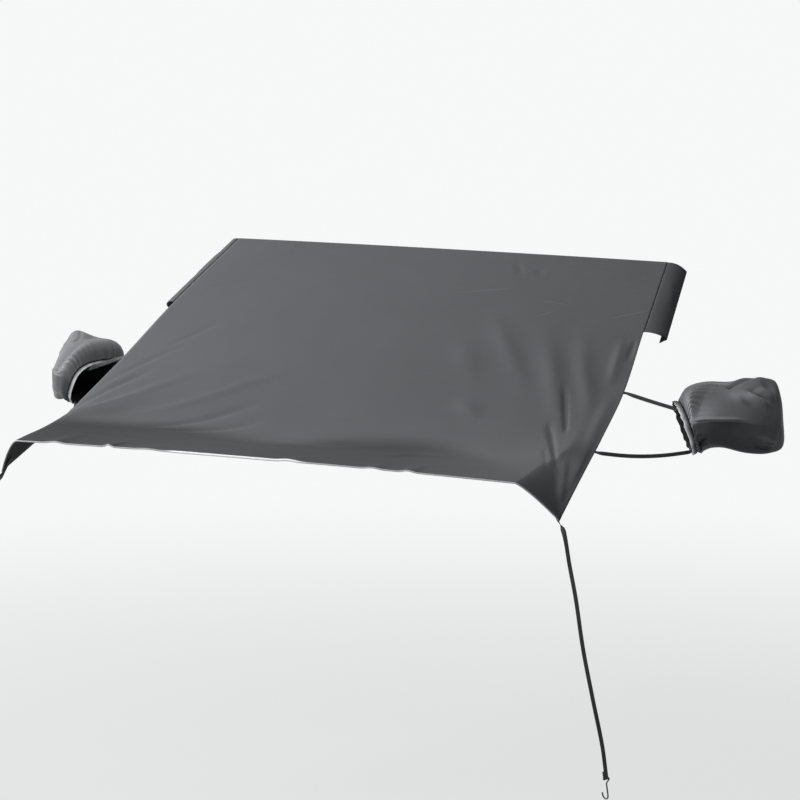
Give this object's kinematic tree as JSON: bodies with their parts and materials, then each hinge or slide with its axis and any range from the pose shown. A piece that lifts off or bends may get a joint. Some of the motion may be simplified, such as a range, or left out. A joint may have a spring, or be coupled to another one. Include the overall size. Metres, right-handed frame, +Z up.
{
  "type": "windshield frost cover",
  "caption": "Fitted fabric frost cover for a large car's windshield, with door flaps, gathered mirror pouches and elastic straps to hook on the front wheels.",
  "frame": {"origin": "point on the glass under the middle of the windshield, where the underside of the cover rests", "axes": "+Z up, +Y towards the rear of the car, +X towards the car's left side"},
  "size_m": [2.1674, 1.1207, 1.1969],
  "materials": {
    "cover_cloth": "woven, slight sheen",
    "pouch_cloth": "woven, slight sheen",
    "seam_piping": "matte",
    "mouth_elastic": "gathered, matte",
    "woven_elastic": "matte",
    "hook_coating": "smooth"
  },
  "bodies": {
    "root": {"windshield_panel": "cover_cloth", "door_flap_left": "cover_cloth", "door_flap_right": "cover_cloth", "flap_piping_left": "seam_piping", "flap_piping_right": "seam_piping", "mirror_pouch_left": "pouch_cloth", "mirror_pouch_right": "pouch_cloth", "pouch_elastic_left": "mouth_elastic", "pouch_elastic_right": "mouth_elastic", "mirror_strap_upper_left": "woven_elastic", "mirror_strap_upper_right": "woven_elastic", "mirror_strap_lower_left": "woven_elastic", "mirror_strap_lower_right": "woven_elastic", "wheel_strap_left": "woven_elastic", "wheel_strap_right": "woven_elastic", "wheel_hook_left": "hook_coating", "wheel_hook_right": "hook_coating"}
  },
  "joints": []
}
